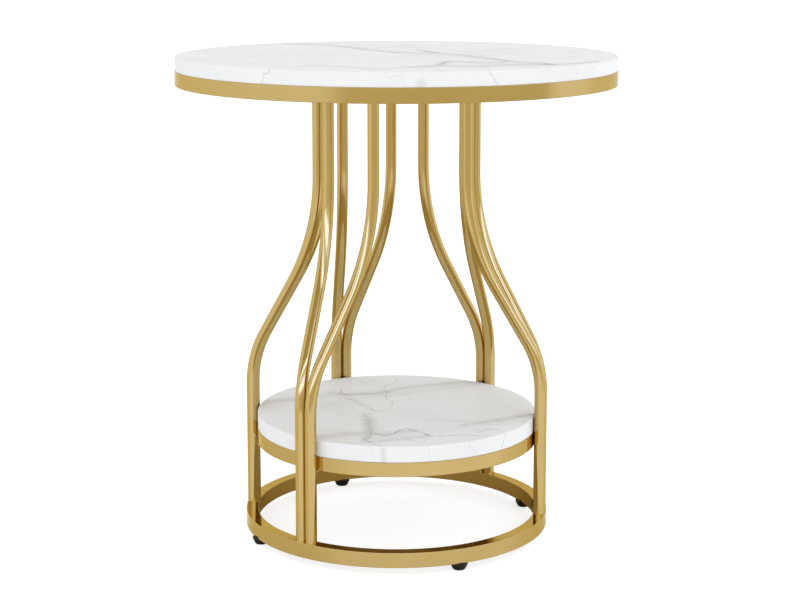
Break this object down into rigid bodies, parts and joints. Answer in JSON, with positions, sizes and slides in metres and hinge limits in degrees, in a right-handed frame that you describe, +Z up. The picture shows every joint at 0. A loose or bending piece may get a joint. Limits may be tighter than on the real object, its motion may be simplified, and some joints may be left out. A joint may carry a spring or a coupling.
{
  "type": "tiered side table",
  "caption": "Round two-tier side table: marble-look top and low shelf on a gold frame of S-bent tubes that stand in pairs on a base ring, with levelling feet.",
  "frame": {"origin": "centre of the table on the floor", "axes": "+Z up, -Y towards the open front, +X to the right seen from the front"},
  "size_m": [0.5, 0.5, 0.552],
  "materials": {
    "stone_laminate": "satin white stone-look laminate on board, thin grey veins and soft grey bands",
    "gold_frame": "bright gold finish on steel, clear reflections",
    "gold_hidden": "the same gold finish on the parts under the boards",
    "zinc_hardware": "zinc-plated steel",
    "foot_plastic": "black moulded plastic"
  },
  "bodies": {
    "table": {"top_board": "stone_laminate", "top_ring": "gold_frame", "hub_plate": "gold_hidden", "top_bar_front_right": "gold_hidden", "top_bar_back_right": "gold_hidden", "top_bar_back_left": "gold_hidden", "top_bar_front_left": "gold_hidden", "leg_front_right_1": "gold_frame", "leg_front_right_2": "gold_frame", "leg_back_right_1": "gold_frame", "leg_back_right_2": "gold_frame", "leg_back_1": "gold_frame", "leg_back_2": "gold_frame", "leg_back_left_1": "gold_frame", "leg_back_left_2": "gold_frame", "leg_front_left_1": "gold_frame", "leg_front_left_2": "gold_frame", "tube_inserts": "zinc_hardware", "tube_bolts": "zinc_hardware", "top_screws": "zinc_hardware", "shelf_board": "stone_laminate", "shelf_ring": "gold_frame", "shelf_tabs": "gold_hidden", "shelf_screws": "zinc_hardware", "base_ring": "gold_frame", "foot_nuts": "zinc_hardware"},
    "foot_front": {"foot_pad_front": "foot_plastic", "foot_stud_front": "zinc_hardware"},
    "foot_right": {"foot_pad_right": "foot_plastic", "foot_stud_right": "zinc_hardware"},
    "foot_back": {"foot_pad_back": "foot_plastic", "foot_stud_back": "zinc_hardware"},
    "foot_left": {"foot_pad_left": "foot_plastic", "foot_stud_left": "zinc_hardware"}
  },
  "joints": [
    {"name": "foot_front_height", "type": "slide", "parent": "table", "child": "foot_front", "axis": [0, 0, -1], "range_m": [0, 0.007]},
    {"name": "foot_right_height", "type": "slide", "parent": "table", "child": "foot_right", "axis": [0, 0, -1], "range_m": [0, 0.007]},
    {"name": "foot_back_height", "type": "slide", "parent": "table", "child": "foot_back", "axis": [0, 0, -1], "range_m": [0, 0.007]},
    {"name": "foot_left_height", "type": "slide", "parent": "table", "child": "foot_left", "axis": [0, 0, -1], "range_m": [0, 0.007]}
  ]
}
